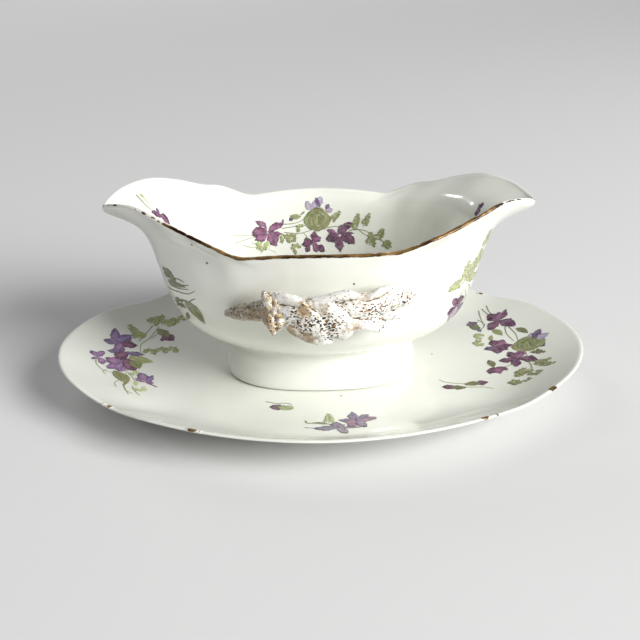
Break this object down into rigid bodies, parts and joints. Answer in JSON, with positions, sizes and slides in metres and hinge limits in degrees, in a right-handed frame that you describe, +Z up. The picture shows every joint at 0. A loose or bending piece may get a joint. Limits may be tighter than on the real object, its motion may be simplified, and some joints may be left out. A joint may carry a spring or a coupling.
{
  "type": "gravy boat with stand",
  "caption": "Oval porcelain gravy boat with a pouring lip at each end, a ribbon-shaped handle on each side and a pedestal foot, resting on a separate scalloped oval stand.",
  "frame": {"origin": "on the surface that the stand rests on, under the middle of the stand", "axes": "+X along the length towards one pouring lip, +Y towards the back handle, +Z up"},
  "size_m": [0.23, 0.17, 0.0885],
  "materials": {
    "white_glaze": "glossy clear glaze over white porcelain, printed with violets",
    "stippled_glaze": "glossy white glaze stippled with brown and gold",
    "gilt_glaze": "worn brown gilding over glaze"
  },
  "bodies": {
    "stand": {"stand": "white_glaze"},
    "boat": {"bowl": "white_glaze", "pedestal_foot": "white_glaze", "front_handle": "stippled_glaze", "front_handle_band": "gilt_glaze", "back_handle": "stippled_glaze", "back_handle_band": "gilt_glaze"}
  },
  "joints": [
    {"name": "boat_lift", "type": "slide", "parent": "stand", "child": "boat", "axis": [0, 0, 1], "range_m": [0, 0.12]}
  ]
}
